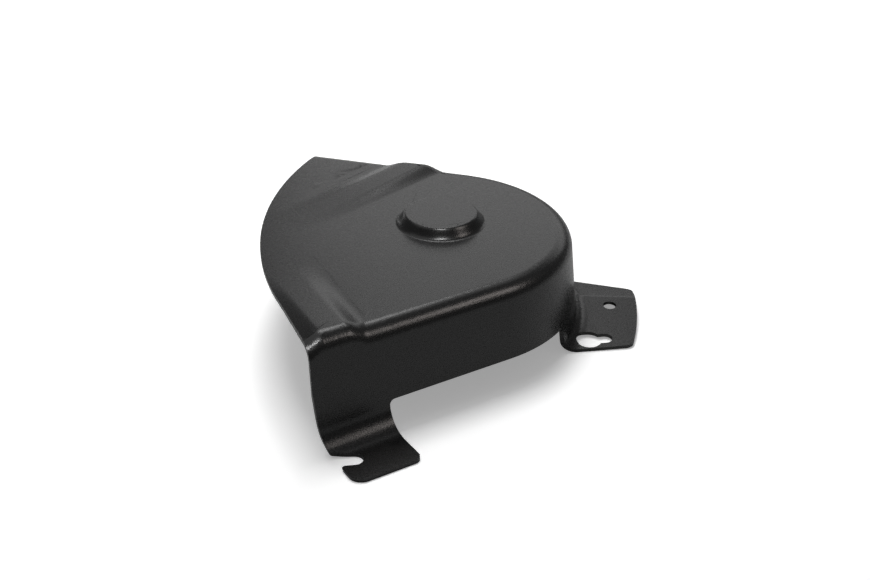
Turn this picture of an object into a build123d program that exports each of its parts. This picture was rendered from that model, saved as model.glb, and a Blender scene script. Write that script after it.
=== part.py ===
from build123d import *
from math import cos, hypot, radians, sin, tan
import os

os.makedirs("parts", exist_ok=True)

# Belt cover: one piece of sheet steel, pressed over a form and then trimmed.
# While it is made, the round nose stands about the origin, the open edge faces -X
# and the floor is z = 0.

# Sheet and heights
sheet = 2.0             # thickness of the sheet
panel_height = 59.5     # upper face of the flat panel above the floor
lower_edge = 17.2       # free lower edge of the wall between the legs
draft = 5.5             # lean of the wall from upright, degrees
edge_round = 7.0        # outside rounding between panel and wall

# Plan of the wall: a round nose and two straight walls tangent to it
nose_radius = 80.4      # to the sharp edge of panel and wall
wall_turn = 24.3        # each straight wall's turn from the X axis, degrees
wall_length = 170.0     # pressed length of each straight wall, before trimming

# Open edge: an arc that runs out into a straight line towards the front
open_radius = 223.0
open_crown_x = -95.0    # where the arc reaches furthest from the nose
open_crown_y = -12.7
open_back_sweep = 52.0  # arc from the crown to past the back wall, degrees
open_front_sweep = 15.4

# Boss near the nose's axis, flat on top
boss_x = 7.6
boss_y = 6.0
boss_radius = 23.8      # half way down its side
boss_rise = 6.0
boss_slope = 45.0       # of its side, degrees
boss_round = 4.0        # rounding of its shoulder

# Ribs that rise from the walls' edges and fade out into the panel
rib_rise = 4.0          # above the panel, over the wall's sharp edge
rib_width = 25.0        # between the middles of its two slopes
rib_slope = 32.0        # of its sides, degrees
rib_fade = 0.05         # rise left where a rib ends
rib_overrun = 30.0      # pressed past the wall's edge before trimming
front_rib_along = -101.0
front_rib_turn = -6.0   # from square to the front wall, degrees
front_rib_length = 68.0
back_rib_along = -36.5
back_rib_turn = -24.0   # from square to the back wall, degrees
back_rib_length = 92.0

# Foot, on the front wall's leg
foot_start = -113.0     # along the front wall, from the nose's tangent point
foot_end = -75.0
foot_reach = nose_radius + 36.9
foot_bend = 14.0        # inside radius of its bend
foot_corner = 4.5       # rounding of its right corner
slot_corner = 7.0       # rounding of its left corner, beside the slot
slot_lip = 1.8          # rounding of the slot's mouth
leg_top = -118.8        # the front wall's open end, at the panel
leg_middle = -116.2     # the same end where it begins to curve in to the foot
leg_curve_height = 22.0

# Tab on the nose's leg, folded along a ridge
fold_turn = -10.9       # direction of the ridge, degrees from the X axis
fold_offset = 19.8      # ridge, square from the origin towards the back
tab_front_offset = -33.0 # where the main face would meet the floor
tab_pitch = 5.0         # rise of the main face from front edge to ridge, degrees
tab_fall = 8.0          # fall of the rear strip beyond the ridge, degrees
fold_round = 8.0        # rounding along the ridge
tab_bend = 8.0          # inside radius of the bend from the nose
tab_front_y = -49.0
tab_tip_front_x = nose_radius + 30.4
tab_tip_back_x = nose_radius + 44.8
tab_tip_back_y = 8.2
tab_tip_bulge = 1.6
tab_rear_turn = 28.0    # rear edge, degrees from the X axis
tab_corner = 5.5

rear_leg_end = -4.0     # along the back wall, from the nose's tangent point
trim_corner = 3.0       # rounding where a leg leaves the wall's lower edge

# Fixing slot, keyhole and small hole
slot_width = 9.0
slot_end_x = -49.5
slot_y = -nose_radius - 54.2
key_x = nose_radius + 5.8
key_y = -40.8
key_diameter = 14.6
neck_width = 8.4
neck_end_x = nose_radius + 19.4
hole_x = nose_radius + 25.5
hole_y = -9.6
hole_diameter = 7.6

# Room that the form and the trimming tools take beyond the sheet
below = 25.0            # under the floor
above = 12.0            # over the panel
inward = 22.0           # inside the wall
outward = 50.0          # outside the wall
past_trim = 12.0        # past a trimmed end
span = 600.0            # side of a square that holds every plan
near = 0.01             # what lies this close to a line or plane counts as on it

front_along = Vector(cos(radians(wall_turn)), sin(radians(wall_turn)), 0)
front_out = Vector(sin(radians(wall_turn)), -cos(radians(wall_turn)), 0)
back_along = Vector(cos(radians(wall_turn)), -sin(radians(wall_turn)), 0)
back_out = Vector(sin(radians(wall_turn)), cos(radians(wall_turn)), 0)
fold_along = Vector(cos(radians(fold_turn)), sin(radians(fold_turn)), 0)
fold_aside = Vector(-sin(radians(fold_turn)), cos(radians(fold_turn)), 0)
up = Vector(0, 0, 1)
ridge_height = sheet + (fold_offset - tab_front_offset) * tan(radians(tab_pitch))


def wall_reach(height, inset):
    """Distance from the nose's axis to the wall at a height."""
    return nose_radius + (panel_height - height) * tan(radians(draft)) - inset / cos(radians(draft))


def wall_plan(reach):
    """Plan of the nose and its straight walls at one height."""
    with BuildSketch() as plan:
        with BuildLine():
            nose = CenterArc((0, 0), reach, wall_turn - 90, 180 - 2 * wall_turn)
            front = Line(nose @ 0, (nose @ 0) - front_along * wall_length)
            back = Line(nose @ 1, (nose @ 1) - back_along * wall_length)
            Line(front @ 1, back @ 1)
        make_face()
    return plan.sketch


def rib_section(rise, inset):
    """Section of a rib where it stands this high above the panel."""
    run = rise / tan(radians(rib_slope))
    shoulder = (rib_width - run) / 2 - inset * tan(radians(rib_slope / 2))
    foot = shoulder + run
    with BuildSketch() as section:
        with BuildLine():
            Polyline(
                (-shoulder, rise - inset),
                (shoulder, rise - inset),
                (foot, -inset),
                (foot, -above),
                (-foot, -above),
                (-foot, -inset),
                close=True,
            )
        make_face()
    return section.sketch


def rib_form(root, inward_direction, length, inset):
    """Rib that starts over the wall's edge and sinks evenly to nothing."""
    sink = (rib_rise - rib_fade) / length
    start = root - inward_direction * rib_overrun
    end = root + inward_direction * length
    across = up.cross(inward_direction)
    with BuildPart() as rib:
        for place, rise in ((start, rib_rise + sink * rib_overrun), (end, rib_fade)):
            with BuildSketch(Plane(place + up * panel_height, x_dir=across, z_dir=inward_direction)):
                add(rib_section(rise, inset))
        loft(ruled=True)
    return rib.part


def boss_form(inset):
    """Boss, turned about its own axis. Only the outside of its shoulder is round."""
    run = boss_rise / tan(radians(boss_slope))
    shoulder = boss_radius - run / 2 - inset * tan(radians(boss_slope / 2))
    foot = shoulder + run
    with BuildPart() as boss:
        with BuildSketch(Plane((boss_x, boss_y, panel_height), x_dir=(1, 0, 0), z_dir=(0, -1, 0))) as half:
            with BuildLine():
                Polyline(
                    (0, boss_rise - inset),
                    (shoulder, boss_rise - inset),
                    (foot, -inset),
                    (foot, -above),
                    (0, -above),
                    close=True,
                )
            make_face()
            if inset == 0:
                fillet(half.vertices().group_by(Axis.Y)[-1].sort_by(Axis.X)[-1], boss_round)
        revolve(axis=Axis((boss_x, boss_y, 0), (0, 0, 1)))
    return boss.part


def tab_section(inset):
    """Section of the form under the folded tab, square to its ridge."""
    front = tab_front_offset - inward
    back = fold_offset + outward
    with BuildSketch() as section:
        with BuildLine():
            Polyline(
                (front, -below),
                (front, ridge_height - (fold_offset - front) * tan(radians(tab_pitch))),
                (fold_offset, ridge_height),
                (back, ridge_height - (back - fold_offset) * tan(radians(tab_fall))),
                (back, -below),
                close=True,
            )
        make_face()
        if inset:
            offset(amount=-inset, kind=Kind.INTERSECTION)
        fillet(section.vertices().sort_by(Axis.Y)[-1], fold_round - inset)
    return section.sketch


def pressed_form(inset):
    """Solid form that the sheet is pressed over, or its outside when inset is nothing."""
    front_root = front_along * front_rib_along + front_out * nose_radius
    back_root = back_along * back_rib_along + back_out * nose_radius
    ribs = [
        rib_form(front_root, (-front_out).rotate(Axis.Z, front_rib_turn), front_rib_length, inset),
        rib_form(back_root, (-back_out).rotate(Axis.Z, back_rib_turn), back_rib_length, inset),
    ]
    boss = boss_form(inset)
    low_plan = wall_plan(wall_reach(-below, inset))
    high_plan = wall_plan(wall_reach(panel_height + above, inset))
    tab = tab_section(inset)

    with BuildPart() as panel:
        with BuildSketch(Plane.XY.offset(-below)):
            Rectangle(span, span)
        extrude(amount=below + panel_height - inset)
        add(ribs)

    with BuildPart() as form:
        with BuildSketch(Plane.XY.offset(-below)):
            add(low_plan)
        with BuildSketch(Plane.XY.offset(panel_height + above)):
            add(high_plan)
        loft(ruled=True)
        add(panel.part, mode=Mode.INTERSECT)
        walls = form.faces().filter_by(lambda face: abs(face.normal_at().Z - sin(radians(draft))) < near)
        rim = walls.edges().filter_by_position(Axis.Z, panel_height - edge_round, panel_height + above)
        fillet(rim, edge_round - inset)
        add(boss)

        foot_side = front_along * (foot_end + past_trim)
        with BuildSketch(Plane(foot_side, x_dir=front_out, z_dir=-front_along)):
            with Locations((wall_reach(0, 0) - inward, sheet - inset)):
                Rectangle(inward + outward, below, align=(Align.MIN, Align.MAX))
        extrude(amount=foot_end - foot_start + 2 * past_trim)
        bend = form.edges().filter_by(
            lambda edge: abs((edge @ 0.5).Z - sheet + inset) < near
            and abs((edge @ 0.5).dot(front_out) - wall_reach(sheet - inset, inset)) < near
        )
        fillet(bend, foot_bend + inset)

        with BuildSketch(Plane(fold_along * (nose_radius - inward), x_dir=fold_aside, z_dir=fold_along)):
            add(tab)
        extrude(amount=inward + outward)
        bend = form.edges().filter_by(
            lambda edge: -sheet < (edge @ 0.5).Z < ridge_height
            and (edge @ 0.5).X > 0
            and abs(hypot((edge @ 0.5).X, (edge @ 0.5).Y) - wall_reach((edge @ 0.5).Z, inset)) < near
        )
        fillet(bend, tab_bend + inset)
    return form.part


def open_edge_tool():
    """Everything beyond the open edge."""
    centre = (open_crown_x + open_radius, open_crown_y)
    with BuildPart() as tool:
        with BuildSketch(Plane.XY.offset(-below)):
            with BuildLine():
                sweep = open_back_sweep + open_front_sweep
                arc = CenterArc(centre, open_radius, 180 - open_back_sweep, sweep)
                run = Line(arc @ 1, (arc @ 1) + (arc % 1) * wall_length)
                Polyline(
                    run @ 1,
                    ((run @ 1).X, -span / 2),
                    (-span / 2, -span / 2),
                    (-span / 2, span / 2),
                    ((arc @ 0).X, span / 2),
                    arc @ 0,
                )
            make_face()
        extrude(amount=below + panel_height + above)
    return tool.part


def leg_end_tool():
    """Everything beyond the front wall's open end, which curves in to the foot."""
    with BuildPart() as tool:
        with BuildSketch(Plane(front_out * (nose_radius - edge_round), x_dir=front_along, z_dir=front_out)):
            with BuildLine():
                upright = Line((leg_top, panel_height), (leg_middle, leg_curve_height))
                curve = TangentArc(upright @ 1, (foot_start, 0), tangent=upright % 1)
                Polyline(
                    curve @ 1,
                    (foot_start, -below),
                    (-wall_length, -below),
                    (-wall_length, panel_height),
                    upright @ 0,
                )
            make_face()
        extrude(amount=edge_round + outward)
    return tool.part


def tab_plan():
    """Outline of the tab, from inside the nose's wall to its bowed tip."""
    root_x = nose_radius - inward
    tip_back = Vector(tab_tip_back_x, tab_tip_back_y)
    rear = Vector(cos(radians(tab_rear_turn)), -sin(radians(tab_rear_turn)))
    rear_root = tip_back - rear * ((tab_tip_back_x - root_x) / rear.X)
    with BuildSketch() as plan:
        with BuildLine():
            front = Line((root_x, tab_front_y), (tab_tip_front_x, tab_front_y))
            tip = SagittaArc(front @ 1, tip_back, tab_tip_bulge)
            Polyline(tip @ 1, rear_root, front @ 0)
        make_face()
        fillet(plan.vertices().sort_by(Axis.X)[-2:], tab_corner)
    return plan.sketch


def leg_plan(along, out, turn, first, last, reach):
    """Outline of a leg on a straight wall, from inside the wall to its reach."""
    root = nose_radius - inward
    middle = along * ((first + last) / 2) + out * ((root + reach) / 2)
    with BuildSketch() as plan:
        with Locations((middle.X, middle.Y)):
            Rectangle(last - first, reach - root, rotation=turn)
    return plan.sketch


def low_trim_tool():
    """Everything under the wall's lower edge, except what stays as legs, foot and tab."""
    foot = leg_plan(front_along, front_out, wall_turn, foot_start - past_trim, foot_end, foot_reach)
    rear = leg_plan(back_along, back_out, -wall_turn, -wall_length, rear_leg_end, nose_radius + inward)
    with BuildPart() as tool:
        with BuildSketch(Plane.XY.offset(-below)):
            Rectangle(span, span)
            add([foot, rear, tab_plan()], mode=Mode.SUBTRACT)
        extrude(amount=below + lower_edge)
        leg_edges = tool.faces().sort_by(Axis.Z)[-1].inner_wires().edges()
        fillet(leg_edges, trim_corner)
    return tool.part


def slot_tool():
    """Slot that opens through the foot's left edge."""
    run = foot_end - foot_start
    with BuildPart() as tool:
        with BuildSketch(Plane.XY.offset(-sheet)):
            with Locations((slot_end_x - (slot_width + run) / 2, slot_y)):
                SlotCenterToCenter(run, slot_width)
        extrude(amount=sheet + past_trim)
    return tool.part


def keyhole_tool():
    """Round entry with a narrow neck towards the tab's tip."""
    with BuildPart() as tool:
        with BuildSketch(Plane.XY.offset(-sheet)):
            with Locations((key_x, key_y)):
                Circle(key_diameter / 2)
            with Locations(((key_x + neck_end_x - neck_width / 2) / 2, key_y)):
                SlotCenterToCenter(neck_end_x - neck_width / 2 - key_x, neck_width)
        extrude(amount=sheet + past_trim)
    return tool.part


def hole_tool():
    """Small hole, square to the tab's main face."""
    face_up = up.rotate(Axis((0, 0, 0), fold_along), tab_pitch)
    with BuildPart() as tool:
        with BuildSketch(Plane((hole_x, hole_y, ridge_height), x_dir=fold_along, z_dir=face_up)):
            Circle(hole_diameter / 2)
        extrude(amount=ridge_height, both=True)
    return tool.part


with BuildPart() as pressing:
    add(pressed_form(0))
    add(pressed_form(sheet), mode=Mode.SUBTRACT)
    add(open_edge_tool(), mode=Mode.SUBTRACT)
    add(leg_end_tool(), mode=Mode.SUBTRACT)
    add(low_trim_tool(), mode=Mode.SUBTRACT)
    with BuildSketch():
        Rectangle(span, span)
    extrude(amount=-below - sheet, mode=Mode.SUBTRACT)
    foot_corners = pressing.edges().filter_by(
        lambda edge: abs((edge @ 0.5).dot(front_out) - foot_reach) < near and edge.length < 2 * sheet
    )
    fillet(foot_corners.sort_by(Axis.X)[-1], foot_corner)
    fillet(foot_corners.sort_by(Axis.X)[0], slot_corner)
    add(slot_tool(), mode=Mode.SUBTRACT)
    lips = pressing.edges().filter_by(
        lambda edge: abs(abs((edge @ 0.5).Y - slot_y) - slot_width / 2) < near
        and (edge @ 0.5).X < slot_end_x - slot_width
        and edge.length < 2 * sheet
    )
    fillet(lips, slot_lip)
    add(keyhole_tool(), mode=Mode.SUBTRACT)
    add(hole_tool(), mode=Mode.SUBTRACT)

box = pressing.part.bounding_box()
with BuildPart() as belt_cover:
    with Locations((-box.center().X, -box.center().Y, -box.min.Z)):
        add(pressing.part)
belt_cover.part.label = "belt_cover"
export_step(belt_cover.part, "parts/belt_cover.step")
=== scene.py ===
from math import atan2, cos, pi, radians, sin, tan

import bmesh
import bpy
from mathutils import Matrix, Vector


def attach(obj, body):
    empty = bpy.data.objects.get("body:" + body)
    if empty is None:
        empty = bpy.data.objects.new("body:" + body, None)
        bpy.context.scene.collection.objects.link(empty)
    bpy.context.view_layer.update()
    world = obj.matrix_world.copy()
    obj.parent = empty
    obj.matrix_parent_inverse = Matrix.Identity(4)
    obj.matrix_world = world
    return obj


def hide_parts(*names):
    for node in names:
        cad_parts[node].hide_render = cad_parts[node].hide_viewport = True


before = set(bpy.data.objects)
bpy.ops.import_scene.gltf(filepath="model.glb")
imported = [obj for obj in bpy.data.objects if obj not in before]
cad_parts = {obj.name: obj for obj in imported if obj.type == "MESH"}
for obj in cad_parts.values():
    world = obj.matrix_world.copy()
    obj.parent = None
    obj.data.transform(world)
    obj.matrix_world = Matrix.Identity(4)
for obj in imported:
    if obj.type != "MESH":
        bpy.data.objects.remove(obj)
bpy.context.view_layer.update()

bl_info = {
    "name": "Belt cover",
    "version": (1, 0, 0),
    "blender": (4, 5, 0),
    "location": "View3D > Sidebar > Belt cover",
    "description": "Dresses a pressed belt cover in its textured black coat, in a plain studio",
    "category": "Object",
}

PRESSING = "belt_cover"
PIECE = "coated_pressing"
MM = 0.001
WHITE = (1.0, 1.0, 1.0)

# Coat
WAVE_RATE = 0.22
PIMPLE_DETAIL = 2.0
PIMPLE_ROUGHNESS = 0.55
WAVE_DETAIL = 1.0
LOW_PIMPLE = 0.3
HIGH_PIMPLE = 0.7
GLOSS_CHANGE = 0.05

# Pressing
MOST_HALVINGS = 9
RELIEF_MARGIN = 2 * MM
RIM_SLACK = 0.6 * MM
SLIVER = 0.2 * MM
ROUNDING_STEPS = 2

# Studio
FLOOR_SIZE = 6.0
FLOOR_AS_LIGHT = 0.54
PART_MIDDLE = Vector((0.0, 0.0, 0.03))
FRAME_WIDTH = 36.0
NEAREST_SEEN = 0.01


# Settings

class CoatSettings(bpy.types.PropertyGroup):
    """Colour, gloss and grain of the textured coat."""

    colour: bpy.props.FloatVectorProperty(
        name="Colour", description="Colour of the coat", subtype="COLOR", size=3,
        default=(0.010, 0.010, 0.0102), min=0, max=1)
    roughness: bpy.props.FloatProperty(
        name="Roughness", description="Roughness of the flat coat", default=0.28, min=0, max=1)
    grain_size: bpy.props.FloatProperty(
        name="Grain size", description="Distance between the coat's pimples", default=0.0008,
        unit="LENGTH")
    grain_depth: bpy.props.FloatProperty(
        name="Grain depth", description="Height of the coat's pimples", default=0.00005, unit="LENGTH",
        precision=5)
    orange_peel: bpy.props.FloatProperty(
        name="Orange peel", description="Height of the coat's slow waves", default=0.000012,
        unit="LENGTH", precision=6)


class ReliefSettings(bpy.types.PropertyGroup):
    """Where the ribs and the boss stand on the panel, and how softly they rise from it."""

    panel_height: bpy.props.FloatProperty(
        name="Panel height", description="Upper face of the flat panel", default=0.0595, unit="LENGTH")
    sheet: bpy.props.FloatProperty(
        name="Sheet", description="Thickness of the sheet", default=0.002, unit="LENGTH")
    solid_round: bpy.props.FloatProperty(
        name="Solid's edge round", description="Rounding between the solid's panel and wall",
        default=0.007, unit="LENGTH")
    edge_round: bpy.props.FloatProperty(
        name="Edge round", description="Rounding between the finished panel and wall", default=0.0095,
        unit="LENGTH")
    nose_axis: bpy.props.FloatVectorProperty(
        name="Nose axis", description="Middle of the round nose", size=2, default=(-0.01445, 0.01654),
        subtype="COORDINATES")
    nose_radius: bpy.props.FloatProperty(
        name="Nose radius", description="To the sharp edge of panel and wall", default=0.0804,
        unit="LENGTH")
    wall_turn: bpy.props.FloatProperty(
        name="Wall turn", description="Turn of each straight wall from the X axis",
        default=radians(24.3), subtype="ANGLE")
    draft: bpy.props.FloatProperty(
        name="Draft", description="Lean of the walls from upright", default=radians(5.5),
        subtype="ANGLE")
    rim_spacing: bpy.props.FloatProperty(
        name="Rim spacing", description="Longest side of a face on the rounded rim", default=0.0022,
        unit="LENGTH")
    rib_rise: bpy.props.FloatProperty(
        name="Rib rise", description="Height of a rib over the wall's edge", default=0.004,
        unit="LENGTH")
    rib_end: bpy.props.FloatProperty(
        name="Rib end", description="Height left where the solid's rib ends", default=0.00005,
        unit="LENGTH", precision=5)
    rib_width: bpy.props.FloatProperty(
        name="Rib width", description="Between the middles of a rib's sides", default=0.025,
        unit="LENGTH")
    back_rib_width: bpy.props.FloatProperty(
        name="Back rib width", description="Between the middles of the finished back rib's sides",
        default=0.022, unit="LENGTH")
    rib_slope: bpy.props.FloatProperty(
        name="Rib slope", description="Slope of the sides of the solid's ribs", default=radians(32),
        subtype="ANGLE")
    rib_softness: bpy.props.FloatProperty(
        name="Rib softness", description="Half the width over which a rib's side rises", default=0.006,
        unit="LENGTH")
    rib_ease: bpy.props.FloatProperty(
        name="Rib ease", description="Part of a rib's length over which its end fades out",
        default=0.25)
    front_rib_start: bpy.props.FloatVectorProperty(
        name="Front rib start", description="Middle of the front rib at the wall's edge", size=2,
        default=(-0.07342, -0.09830), subtype="COORDINATES")
    front_rib_end: bpy.props.FloatVectorProperty(
        name="Front rib end", description="Where the front rib ends", size=2,
        default=(-0.09477, -0.03374), subtype="COORDINATES")
    solid_rib_start: bpy.props.FloatVectorProperty(
        name="Solid's back rib start", description="Middle of the solid's back rib at the wall's edge",
        size=2, default=(-0.01464, 0.10483), subtype="COORDINATES")
    solid_rib_end: bpy.props.FloatVectorProperty(
        name="Solid's back rib end", description="Where the solid's back rib ends", size=2,
        default=(-0.08333, 0.04363), subtype="COORDINATES")
    back_rib_start: bpy.props.FloatVectorProperty(
        name="Back rib start", description="Middle of the finished back rib at the wall's edge", size=2,
        default=(-0.00872, 0.10216), subtype="COORDINATES")
    back_rib_end: bpy.props.FloatVectorProperty(
        name="Back rib end", description="Where the finished back rib ends", size=2,
        default=(-0.08050, 0.04240), subtype="COORDINATES")
    boss_centre: bpy.props.FloatVectorProperty(
        name="Boss centre", description="Axis of the boss", size=2, default=(-0.00685, 0.02254),
        subtype="COORDINATES")
    boss_radius: bpy.props.FloatProperty(
        name="Boss radius", description="Half way down the side of the boss", default=0.0232,
        unit="LENGTH")
    boss_rise: bpy.props.FloatProperty(
        name="Boss rise", description="Height of the boss", default=0.006, unit="LENGTH")
    boss_softness: bpy.props.FloatProperty(
        name="Boss softness", description="Half the width over which the side of the boss rises",
        default=0.0031, unit="LENGTH")
    boss_lean: bpy.props.FloatProperty(
        name="Boss lean", description="Above 1, the boss has a sharper shoulder and a softer foot",
        default=1.35, min=1)
    spacing: bpy.props.FloatProperty(
        name="Spacing", description="Longest side of a face near the ribs and the boss", default=0.0015,
        unit="LENGTH")
    tip_front: bpy.props.FloatVectorProperty(
        name="Tab tip's front", description="Front end of the tab's tip", size=2,
        default=(0.0970, -0.0283), subtype="COORDINATES")
    tip_back: bpy.props.FloatVectorProperty(
        name="Tab tip's back", description="Back end of the tab's tip", size=2,
        default=(0.1093, 0.0210), subtype="COORDINATES")
    tip_bow: bpy.props.FloatProperty(
        name="Tab tip's bow", description="How far the finished tip bows out of its ends' line",
        default=0.0016, unit="LENGTH")
    tip_fade: bpy.props.FloatProperty(
        name="Tab tip's fade", description="How far inside the tip the solid's points still follow",
        default=0.006, unit="LENGTH")


class PressingSettings(bpy.types.PropertyGroup):
    """How the pressing's mesh is finished."""

    merge: bpy.props.FloatProperty(
        name="Merge", description="Points nearer than this become one", default=0.0001, unit="LENGTH",
        precision=5)
    edge_rounding: bpy.props.FloatProperty(
        name="Edge rounding", description="Rounding that the coat gives the sheared edges",
        default=0.0003, unit="LENGTH", precision=5)
    sharp_angle: bpy.props.FloatProperty(
        name="Sharp angle", description="Folds sharper than this are sheared edges",
        default=radians(42), subtype="ANGLE")


class StudioSettings(bpy.types.PropertyGroup):
    """Floor, lamps and camera."""

    focal_length: bpy.props.FloatProperty(
        name="Focal length", description="Lens, in millimetres of a 36 mm wide frame", default=53.8)
    aim: bpy.props.FloatVectorProperty(
        name="Aim", description="Point in the middle of the picture", subtype="TRANSLATION",
        default=(-0.02035, -0.05586, 0.0595))
    distance: bpy.props.FloatProperty(
        name="Distance", description="Camera from the aim point", default=0.672, unit="LENGTH")
    elevation: bpy.props.FloatProperty(
        name="Elevation", description="Camera above the level of the aim point", default=radians(29.5),
        subtype="ANGLE")
    azimuth: bpy.props.FloatProperty(
        name="Azimuth", description="Turn of the camera from looking along +Y", default=radians(-7.4),
        subtype="ANGLE")
    floor_colour: bpy.props.FloatVectorProperty(
        name="Floor colour", description="Floor as the camera sees it", subtype="COLOR", size=3,
        default=(1.0, 1.0, 1.0), min=0, max=1)
    floor_glow: bpy.props.FloatProperty(
        name="Floor glow",
        description="Brightness that the floor adds to its shadows, for the camera only", default=0.32,
        min=0)
    fill: bpy.props.FloatProperty(
        name="Fill", description="Brightness of the surroundings as light", default=0.12, min=0)
    overhead: bpy.props.FloatProperty(
        name="Overhead lamp", description="Brightness of the soft lamp overhead", default=5.0, min=0)
    overhead_size: bpy.props.FloatVectorProperty(
        name="Overhead lamp size", description="Width and depth", size=2, unit="LENGTH",
        default=(0.36, 0.4))
    overhead_place: bpy.props.FloatVectorProperty(
        name="Overhead lamp place", description="Middle of the lamp", subtype="TRANSLATION",
        default=(0.08, 0.66, 1.1))
    ceiling: bpy.props.FloatProperty(
        name="Ceiling", description="Brightness of the broad ceiling", default=0.55, min=0)
    ceiling_size: bpy.props.FloatVectorProperty(
        name="Ceiling size", description="Width and depth", size=2, unit="LENGTH", default=(2.6, 1.3))
    ceiling_place: bpy.props.FloatVectorProperty(
        name="Ceiling place", description="Middle of the ceiling", subtype="TRANSLATION",
        default=(-0.35, 0.4, 1.35))
    key: bpy.props.FloatProperty(
        name="Key lamp",
        description="Brightness of the lamp that casts the floor's shadow and gives no highlight",
        default=12.0, min=0)
    key_size: bpy.props.FloatVectorProperty(
        name="Key lamp size", description="Width and depth", size=2, unit="LENGTH", default=(0.5, 0.4))
    key_place: bpy.props.FloatVectorProperty(
        name="Key lamp place", description="Middle of the lamp", subtype="TRANSLATION",
        default=(-0.12, 0.3, 1.2))
    front: bpy.props.FloatProperty(
        name="Front lamp",
        description="Brightness of the small lamp above the camera, seen as a highlight only",
        default=26.0, min=0)
    front_size: bpy.props.FloatVectorProperty(
        name="Front lamp size", description="Width and height", size=2, unit="LENGTH",
        default=(0.3, 0.24))
    front_place: bpy.props.FloatVectorProperty(
        name="Front lamp place", description="Middle of the lamp", subtype="TRANSLATION",
        default=(-0.08, -0.55, 1.05))
    rear: bpy.props.FloatProperty(
        name="Rear panel", description="Brightness of the soft panel behind", default=1.0, min=0)
    rear_size: bpy.props.FloatVectorProperty(
        name="Rear panel size", description="Width and height", size=2, unit="LENGTH",
        default=(1.5, 0.5))
    rear_place: bpy.props.FloatVectorProperty(
        name="Rear panel place", description="Middle of the panel", subtype="TRANSLATION",
        default=(0.58, 1.3, 0.66))
    backdrop: bpy.props.FloatProperty(
        name="Backdrop", description="Brightness of the low backdrop behind", default=1.0, min=0)
    backdrop_size: bpy.props.FloatVectorProperty(
        name="Backdrop size", description="Width and height", size=2, unit="LENGTH",
        default=(1.1, 0.26))
    backdrop_place: bpy.props.FloatVectorProperty(
        name="Backdrop place", description="Middle of the backdrop", subtype="TRANSLATION",
        default=(-0.38, 1.4, 0.13))
    side: bpy.props.FloatProperty(
        name="Side lamp",
        description="Brightness of the soft lamp at the right, seen as a highlight only", default=4.5,
        min=0)
    side_size: bpy.props.FloatVectorProperty(
        name="Side lamp size", description="Width and height", size=2, unit="LENGTH",
        default=(0.42, 0.42))
    side_place: bpy.props.FloatVectorProperty(
        name="Side lamp place", description="Middle of the lamp", subtype="TRANSLATION",
        default=(0.87, -0.48, 0.85))
    side_colour: bpy.props.FloatVectorProperty(
        name="Side lamp colour", description="Colour of the lamp at the right", subtype="COLOR", size=3,
        default=(1.0, 0.92, 0.88), min=0, max=1)


# Shader helpers

def socket(group, name, direction, kind, default=None):
    """Adds a named socket to a node group."""
    made = group.interface.new_socket(name=name, in_out=direction, socket_type=kind)
    if default is not None:
        made.default_value = default


def node(tree, kind, **values):
    """Adds a node and sets its plain properties."""
    made = tree.nodes.new(kind)
    for name, value in values.items():
        setattr(made, name, value)
    return made


def link(tree, start, end):
    """Joins an output to an input."""
    tree.links.new(start, end)


def fine_grain_group():
    """Height of a textured coat: close-set pimples over slow waves, in metres."""
    group = bpy.data.node_groups.new("fine_grain", "ShaderNodeTree")
    socket(group, "Position", "INPUT", "NodeSocketVector")
    socket(group, "Spacing", "INPUT", "NodeSocketFloat", MM)
    socket(group, "Pimple height", "INPUT", "NodeSocketFloat", 0.05 * MM)
    socket(group, "Wave height", "INPUT", "NodeSocketFloat", 0.03 * MM)
    socket(group, "Height", "OUTPUT", "NodeSocketFloat")
    socket(group, "Pimples", "OUTPUT", "NodeSocketFloat")
    given = node(group, "NodeGroupInput")
    result = node(group, "NodeGroupOutput")

    frequency = node(group, "ShaderNodeMath", operation="DIVIDE")
    frequency.inputs[0].default_value = 1.0
    link(group, given.outputs["Spacing"], frequency.inputs[1])
    pimples = node(group, "ShaderNodeTexNoise", noise_dimensions="3D")
    pimples.inputs["Detail"].default_value = PIMPLE_DETAIL
    pimples.inputs["Roughness"].default_value = PIMPLE_ROUGHNESS
    link(group, given.outputs["Position"], pimples.inputs["Vector"])
    link(group, frequency.outputs[0], pimples.inputs["Scale"])

    slow_frequency = node(group, "ShaderNodeMath", operation="DIVIDE")
    slow_frequency.inputs[0].default_value = WAVE_RATE
    link(group, given.outputs["Spacing"], slow_frequency.inputs[1])
    waves = node(group, "ShaderNodeTexNoise", noise_dimensions="3D")
    waves.inputs["Detail"].default_value = WAVE_DETAIL
    link(group, given.outputs["Position"], waves.inputs["Vector"])
    link(group, slow_frequency.outputs[0], waves.inputs["Scale"])

    pimple_height = node(group, "ShaderNodeMath", operation="MULTIPLY")
    link(group, pimples.outputs["Fac"], pimple_height.inputs[0])
    link(group, given.outputs["Pimple height"], pimple_height.inputs[1])
    total = node(group, "ShaderNodeMath", operation="MULTIPLY_ADD")
    link(group, waves.outputs["Fac"], total.inputs[0])
    link(group, given.outputs["Wave height"], total.inputs[1])
    link(group, pimple_height.outputs[0], total.inputs[2])
    link(group, total.outputs[0], result.inputs["Height"])
    link(group, pimples.outputs["Fac"], result.inputs["Pimples"])
    return group


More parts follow.
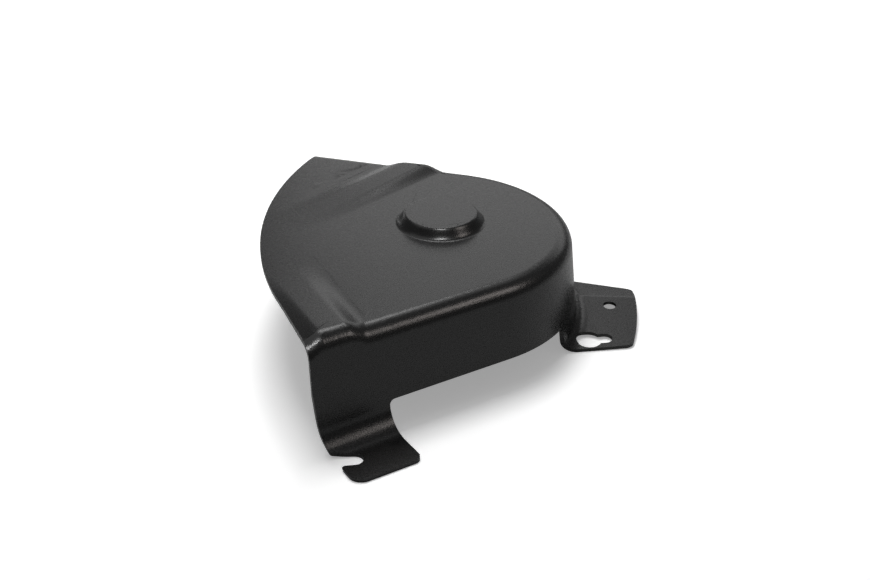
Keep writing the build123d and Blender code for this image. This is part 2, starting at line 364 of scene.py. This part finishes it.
def coat_material(coat):
    """Textured satin black coat, a little glossier on its pimples than between them."""
    material = bpy.data.materials.new("textured_black_coat")
    material.use_nodes = True
    tree = material.node_tree
    tree.nodes.clear()
    output = node(tree, "ShaderNodeOutputMaterial")
    shader = node(tree, "ShaderNodeBsdfPrincipled")
    shader.inputs["Base Color"].default_value = (*coat.colour, 1.0)
    shader.inputs["IOR"].default_value = 1.5
    shader.inputs["Specular IOR Level"].default_value = 0.5
    link(tree, shader.outputs["BSDF"], output.inputs["Surface"])

    place = node(tree, "ShaderNodeTexCoord")
    grain = node(tree, "ShaderNodeGroup", node_tree=fine_grain_group())
    grain.inputs["Spacing"].default_value = coat.grain_size
    grain.inputs["Pimple height"].default_value = coat.grain_depth
    grain.inputs["Wave height"].default_value = coat.orange_peel
    link(tree, place.outputs["Object"], grain.inputs["Position"])
    bump = node(tree, "ShaderNodeBump")
    bump.inputs["Strength"].default_value = 1.0
    bump.inputs["Distance"].default_value = 1.0
    link(tree, grain.outputs["Height"], bump.inputs["Height"])
    link(tree, bump.outputs["Normal"], shader.inputs["Normal"])

    gloss = node(tree, "ShaderNodeMapRange")
    gloss.inputs["From Min"].default_value = LOW_PIMPLE
    gloss.inputs["From Max"].default_value = HIGH_PIMPLE
    gloss.inputs["To Min"].default_value = coat.roughness + GLOSS_CHANGE
    gloss.inputs["To Max"].default_value = coat.roughness - GLOSS_CHANGE
    link(tree, grain.outputs["Pimples"], gloss.inputs["Value"])
    link(tree, gloss.outputs["Result"], shader.inputs["Roughness"])
    return material


# Pressing

def eased(part):
    """Smooth step from 0 to 1."""
    part = min(max(part, 0.0), 1.0)
    return part * part * (3.0 - 2.0 * part)


def rib_place(start, end, x, y):
    """Part of the way along a rib, and the distance from its middle line."""
    run = Vector(end) - Vector(start)
    away = Vector((x, y)) - Vector(start)
    return away.dot(run) / run.length_squared, abs(run.normalized().cross(away))


def solid_ribs(relief):
    """Start, end and width of the solid's ribs."""
    return (
        (relief.front_rib_start, relief.front_rib_end, relief.rib_width),
        (relief.solid_rib_start, relief.solid_rib_end, relief.rib_width),
    )


def finished_ribs(relief):
    """Start, end and width of the finished ribs."""
    return (
        (relief.front_rib_start, relief.front_rib_end, relief.rib_width),
        (relief.back_rib_start, relief.back_rib_end, relief.back_rib_width),
    )


def boss_distance(relief, x, y):
    """Distance of a place from the axis of the boss."""
    return (Vector((x, y)) - Vector(relief.boss_centre)).length


def solid_rise(relief, inset, x, y):
    """Height of the solid's straight-sided ribs above the panel."""
    height = 0.0
    for start, end, width in solid_ribs(relief):
        along, aside = rib_place(start, end, x, y)
        if along > 1.0:
            continue
        rise = relief.rib_rise + (relief.rib_end - relief.rib_rise) * along
        steepness = tan(relief.rib_slope)
        foot = (width + rise / steepness) / 2 - inset * tan(relief.rib_slope / 2)
        height = max(height, min(rise, (foot - aside) * steepness))
    return height


def soft_rise(relief, inset, x, y):
    """Height of the real, softly pressed ribs and boss above the panel."""
    height = 0.0
    ease = relief.rib_ease
    for start, end, width in finished_ribs(relief):
        along, aside = rib_place(start, end, x, y)
        if along < 1.0 - ease:
            fall = 1.0 - along
        else:
            fall = max(1.0 + ease - along, 0.0) ** 2 / (4 * ease)
        side = width / 2 - inset * tan(relief.rib_slope / 2) + relief.rib_softness
        height += relief.rib_rise * fall * eased((side - aside) / (2 * relief.rib_softness))
    side = relief.boss_radius - inset / 2 + relief.boss_softness
    part = (side - boss_distance(relief, x, y)) / (2 * relief.boss_softness)
    return height + relief.boss_rise * eased(max(part, 0.0) ** relief.boss_lean)


def near_relief(relief, x, y):
    """Whether a point lies on a rib or on the side of the boss."""
    for start, end, width in solid_ribs(relief) + finished_ribs(relief):
        along, aside = rib_place(start, end, x, y)
        if along < 1.0 + relief.rib_ease and aside < width / 2 + relief.rib_softness + RELIEF_MARGIN:
            return True
    return abs(boss_distance(relief, x, y) - relief.boss_radius) < relief.boss_softness + RELIEF_MARGIN


def halve_edges(work, too_long):
    """Halves the edges that are too long, until none is left or MOST_HALVINGS rounds are done."""
    for _ in range(MOST_HALVINGS):
        long_edges = [edge for edge in work.edges if too_long(edge)]
        if not long_edges:
            break
        touched = {face for edge in long_edges for face in edge.link_faces}
        made = bmesh.ops.subdivide_edges(work, edges=long_edges, cuts=1)
        touched.update(item for item in made["geom"] if isinstance(item, bmesh.types.BMFace))
        many_sided = [face for face in touched if face.is_valid and len(face.verts) > 3]
        bmesh.ops.triangulate(work, faces=many_sided)
    work.normal_update()


def side_inset(relief, vert):
    """Depth of a point below the outer surface: none, or one sheet for a face that looks down."""
    return 0.0 if vert.normal.z > 0 else relief.sheet


def rim_place(relief, inset, rounding, x, y):
    """Outward direction, reach from the nose's axis, and the rounding's centre as reach and height."""
    away = Vector((x, y)) - Vector(relief.nose_axis)
    side = -1.0 if away.y < 0 else 1.0
    out = Vector((sin(relief.wall_turn), side * cos(relief.wall_turn)))
    along = Vector((cos(relief.wall_turn), -side * sin(relief.wall_turn)))
    if away.dot(along) > 0:
        out = away.normalized()
    height = relief.panel_height - inset + solid_rise(relief, inset, x, y) - (rounding - inset)
    reach = relief.nose_radius + (relief.panel_height - height) * tan(relief.draft)
    return out, away.dot(out), reach - rounding / cos(relief.draft), height


def on_rim(relief, vert):
    """Whether a point of the solid lies on the rounding between panel and wall."""
    place = rim_place(relief, side_inset(relief, vert), relief.solid_round, vert.co.x, vert.co.y)
    reach, centre_reach, centre_height = place[1:]
    return reach > centre_reach - RIM_SLACK and vert.co.z > centre_height - RIM_SLACK


def widen_rim(work, relief):
    """Makes the rounding between panel and wall finer, and as wide as the finished pressing's."""
    def too_long(edge):
        if edge.calc_length() <= relief.rim_spacing:
            return False
        return all(on_rim(relief, vert) for vert in edge.verts)

    halve_edges(work, too_long)
    for vert in work.verts:
        if not on_rim(relief, vert):
            continue
        inset = side_inset(relief, vert)
        place = (vert.co.x, vert.co.y)
        out, reach, old_reach, old_height = rim_place(relief, inset, relief.solid_round, *place)
        new_reach = rim_place(relief, inset, relief.edge_round, *place)[2]
        turn = atan2(reach - old_reach, vert.co.z - old_height)
        turn = min(max(turn, 0.0), radians(90) - relief.draft)
        distance = relief.edge_round - inset
        shift = out * (new_reach + distance * sin(turn) - reach)
        vert.co.x += shift.x
        vert.co.y += shift.y
        new_height = rim_place(relief, inset, relief.edge_round, vert.co.x, vert.co.y)[3]
        vert.co.z = new_height + distance * cos(turn)


def soften_relief(work, relief):
    """Splits the faces near the ribs and the boss, and lifts them to the real, soft form."""
    rim_foot = relief.panel_height - relief.edge_round

    def too_long(edge):
        length = edge.calc_length()
        start, end = edge.verts[0].co, edge.verts[1].co
        middle = (start + end) / 2
        from_boss_side = abs(boss_distance(relief, middle.x, middle.y) - relief.boss_radius)
        if from_boss_side < 2 * relief.boss_softness:
            return length > relief.spacing / 2
        if length < relief.spacing or min(start.z, end.z) < rim_foot - relief.sheet:
            return False
        pieces = 2 + int(length / relief.rib_softness)
        places = (start.lerp(end, (count + 0.5) / pieces) for count in range(pieces))
        return any(near_relief(relief, place.x, place.y) for place in places)

    halve_edges(work, too_long)
    bmesh.ops.dissolve_degenerate(work, edges=work.edges, dist=SLIVER)
    for vert in work.verts:
        if vert.co.z <= rim_foot or not near_relief(relief, vert.co.x, vert.co.y):
            continue
        inset = side_inset(relief, vert)
        reach, rim_reach = rim_place(relief, inset, relief.edge_round, vert.co.x, vert.co.y)[1:3]
        inside_rim = reach < rim_reach
        from_boss = boss_distance(relief, vert.co.x, vert.co.y)
        if inside_rim and from_boss > relief.boss_radius + 2 * relief.boss_softness:
            outer_top = relief.panel_height + solid_rise(relief, 0.0, vert.co.x, vert.co.y)
            inset = 0.0 if vert.co.z > outer_top - relief.sheet / 2 else relief.sheet
        level = relief.panel_height - inset
        soft_top = level + soft_rise(relief, inset, vert.co.x, vert.co.y)
        solid_top = level + solid_rise(relief, inset, vert.co.x, vert.co.y)
        if inside_rim:
            vert.co.z = soft_top
        else:
            share = eased((vert.co.z - rim_foot) / (solid_top - rim_foot))
            vert.co.z += (soft_top - solid_top) * share
    work.normal_update()


def bow_tip(work, relief):
    """Bows the tab's tip outward, where the solid's bows inward by as much."""
    front, back = Vector(relief.tip_front), Vector(relief.tip_back)
    run = (back - front).normalized()
    out = Vector((run.y, -run.x))
    half = (back - front).length / 2
    for vert in work.verts:
        away = vert.co.xy - (front + back) / 2
        bow = relief.tip_bow * (1.0 - (away.dot(run) / half) ** 2)
        inside = -bow - away.dot(out)
        if bow > 0 and inside < relief.tip_fade:
            shift = out * 2 * bow * eased(1.0 - inside / relief.tip_fade)
            vert.co.x += shift.x
            vert.co.y += shift.y


def finished_pressing(settings, relief):
    """Copy of the pressing with its doubles merged, its tab bowed and its rim and relief soft."""
    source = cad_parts[PRESSING]
    mesh = source.data.copy()
    mesh.name = PIECE
    mesh.materials.clear()
    if mesh.has_custom_normals:
        mesh.attributes.remove(mesh.attributes["custom_normal"])
    work = bmesh.new()
    work.from_mesh(mesh)
    bmesh.ops.remove_doubles(work, verts=work.verts, dist=settings.merge)
    work.normal_update()
    bow_tip(work, relief)
    widen_rim(work, relief)
    soften_relief(work, relief)
    bmesh.ops.dissolve_degenerate(work, edges=work.edges, dist=settings.merge)
    for face in work.faces:
        face.smooth = True
    work.to_mesh(mesh)
    work.free()
    piece = bpy.data.objects.new(PIECE, mesh)
    bpy.context.scene.collection.objects.link(piece)
    return piece


def apply_modifiers(piece):
    """Turns the evaluated piece into a plain mesh."""
    graph = bpy.context.evaluated_depsgraph_get()
    final = bpy.data.meshes.new_from_object(piece.evaluated_get(graph))
    piece.modifiers.clear()
    old = piece.data
    piece.data = final
    bpy.data.meshes.remove(old)


class COVER_OT_pressing(bpy.types.Operator):
    """Makes the coated pressing from the solid"""

    bl_idname = "cover.pressing"
    bl_label = "Coated pressing"

    def execute(self, context):
        settings = context.scene.cover_pressing
        piece = finished_pressing(settings, context.scene.cover_relief)
        rounding = piece.modifiers.new("edge_rounding", "BEVEL")
        rounding.width = settings.edge_rounding
        rounding.segments = ROUNDING_STEPS
        rounding.limit_method = "ANGLE"
        rounding.angle_limit = settings.sharp_angle
        rounding.harden_normals = True
        weights = piece.modifiers.new("flat_normals", "WEIGHTED_NORMAL")
        weights.mode = "FACE_AREA"
        weights.keep_sharp = True
        apply_modifiers(piece)
        piece.data.name = PIECE
        piece.data.materials.append(coat_material(context.scene.cover_coat))
        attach(piece, "root")
        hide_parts(PRESSING)
        return {"FINISHED"}


# Studio

def area_lamp(name, brightness, size, place, colour=WHITE):
    """Soft rectangular lamp that faces the part. At brightness 1 it looks white."""
    data = bpy.data.lights.new(name, "AREA")
    data.shape = "RECTANGLE"
    data.size = size[0]
    data.size_y = size[1]
    data.energy = brightness * size[0] * size[1] * pi
    data.color = colour
    lamp = bpy.data.objects.new(name, data)
    lamp.location = place
    lamp.rotation_euler = (PART_MIDDLE - Vector(place)).to_track_quat("-Z", "Y").to_euler()
    bpy.context.scene.collection.objects.link(lamp)
    return lamp


def camera_sees(tree, seen, unseen):
    """Mixes two shaders: one that the camera sees, and one for light and reflections."""
    path = node(tree, "ShaderNodeLightPath")
    mix = node(tree, "ShaderNodeMixShader")
    link(tree, path.outputs["Is Camera Ray"], mix.inputs["Fac"])
    link(tree, unseen, mix.inputs[1])
    link(tree, seen, mix.inputs[2])
    return mix


def floor_material(studio):
    """Pale floor that shows its shadows softly, and lights the part less than it looks."""
    material = bpy.data.materials.new("pale_floor")
    material.use_nodes = True
    tree = material.node_tree
    tree.nodes.clear()
    output = node(tree, "ShaderNodeOutputMaterial")
    surface = node(tree, "ShaderNodeBsdfDiffuse")
    surface.inputs["Color"].default_value = (*studio.floor_colour, 1.0)
    glow = node(tree, "ShaderNodeEmission")
    glow.inputs["Strength"].default_value = studio.floor_glow
    shown = node(tree, "ShaderNodeAddShader")
    link(tree, surface.outputs["BSDF"], shown.inputs[0])
    link(tree, glow.outputs["Emission"], shown.inputs[1])
    lit = node(tree, "ShaderNodeBsdfDiffuse")
    lit.inputs["Color"].default_value = (FLOOR_AS_LIGHT, FLOOR_AS_LIGHT, FLOOR_AS_LIGHT, 1.0)
    mix = camera_sees(tree, shown.outputs["Shader"], lit.outputs["BSDF"])
    link(tree, mix.outputs["Shader"], output.inputs["Surface"])
    return material


def studio_world(studio):
    """White surroundings that give only a little light."""
    world = bpy.data.worlds.new("studio")
    world.use_nodes = True
    tree = world.node_tree
    tree.nodes.clear()
    output = node(tree, "ShaderNodeOutputWorld")
    shown = node(tree, "ShaderNodeBackground")
    shown.inputs["Color"].default_value = (*WHITE, 1.0)
    light = node(tree, "ShaderNodeBackground")
    light.inputs["Strength"].default_value = studio.fill
    mix = camera_sees(tree, shown.outputs["Background"], light.outputs["Background"])
    link(tree, mix.outputs["Shader"], output.inputs["Surface"])
    bpy.context.scene.world = world


def studio_camera(studio):
    """Camera at the photograph's angle, turned to the aim point."""
    data = bpy.data.cameras.new("camera")
    data.sensor_width = FRAME_WIDTH
    data.lens = studio.focal_length
    data.clip_start = NEAREST_SEEN
    camera = bpy.data.objects.new("camera", data)
    level = cos(studio.elevation)
    away = Vector((sin(studio.azimuth) * level, -cos(studio.azimuth) * level, sin(studio.elevation)))
    camera.location = Vector(studio.aim) + away * studio.distance
    camera.rotation_euler = (-away).to_track_quat("-Z", "Y").to_euler()
    bpy.context.scene.collection.objects.link(camera)
    return camera


class COVER_OT_studio(bpy.types.Operator):
    """Sets the floor, lamps, surroundings and camera"""

    bl_idname = "cover.studio"
    bl_label = "Studio"

    def execute(self, context):
        studio = context.scene.cover_studio
        bpy.ops.mesh.primitive_plane_add(size=FLOOR_SIZE, location=(0, 0, 0))
        floor = context.active_object
        floor.name = "floor"
        floor.data.materials.append(floor_material(studio))
        studio_world(studio)
        area_lamp("overhead_lamp", studio.overhead, studio.overhead_size, studio.overhead_place)
        area_lamp("ceiling", studio.ceiling, studio.ceiling_size, studio.ceiling_place)
        area_lamp("rear_panel", studio.rear, studio.rear_size, studio.rear_place)
        area_lamp("backdrop", studio.backdrop, studio.backdrop_size, studio.backdrop_place)
        key = area_lamp("key_lamp", studio.key, studio.key_size, studio.key_place)
        key.visible_glossy = False
        front = area_lamp("front_lamp", studio.front, studio.front_size, studio.front_place)
        front.visible_diffuse = False
        side = area_lamp(
            "side_lamp", studio.side, studio.side_size, studio.side_place, studio.side_colour)
        side.visible_diffuse = False
        context.scene.camera = studio_camera(studio)
        context.scene.view_settings.view_transform = "Standard"
        return {"FINISHED"}


class COVER_PT_panel(bpy.types.Panel):
    """Lists the settings and the operators"""

    bl_idname = "COVER_PT_panel"
    bl_label = "Belt cover"
    bl_space_type = "VIEW_3D"
    bl_region_type = "UI"
    bl_category = "Belt cover"

    def draw(self, context):
        scene = context.scene
        for settings, operator in (
            (scene.cover_coat, None),
            (scene.cover_relief, None),
            (scene.cover_pressing, COVER_OT_pressing),
            (scene.cover_studio, COVER_OT_studio),
        ):
            column = self.layout.column(align=True)
            for name in settings.bl_rna.properties.keys():
                if name not in {"rna_type", "name"}:
                    column.prop(settings, name)
            if operator:
                column.operator(operator.bl_idname)


CLASSES = (
    CoatSettings,
    ReliefSettings,
    PressingSettings,
    StudioSettings,
    COVER_OT_pressing,
    COVER_OT_studio,
    COVER_PT_panel,
)


def register():
    """Registers the classes and hangs the settings on the scene."""
    for item in CLASSES:
        bpy.utils.register_class(item)
    bpy.types.Scene.cover_coat = bpy.props.PointerProperty(type=CoatSettings)
    bpy.types.Scene.cover_relief = bpy.props.PointerProperty(type=ReliefSettings)
    bpy.types.Scene.cover_pressing = bpy.props.PointerProperty(type=PressingSettings)
    bpy.types.Scene.cover_studio = bpy.props.PointerProperty(type=StudioSettings)


def unregister():
    """Takes away what register adds."""
    del bpy.types.Scene.cover_studio
    del bpy.types.Scene.cover_pressing
    del bpy.types.Scene.cover_relief
    del bpy.types.Scene.cover_coat
    for item in reversed(CLASSES):
        bpy.utils.unregister_class(item)


def main():
    register()
    bpy.ops.cover.pressing()
    bpy.ops.cover.studio()


if __name__ == "__main__":
    main()
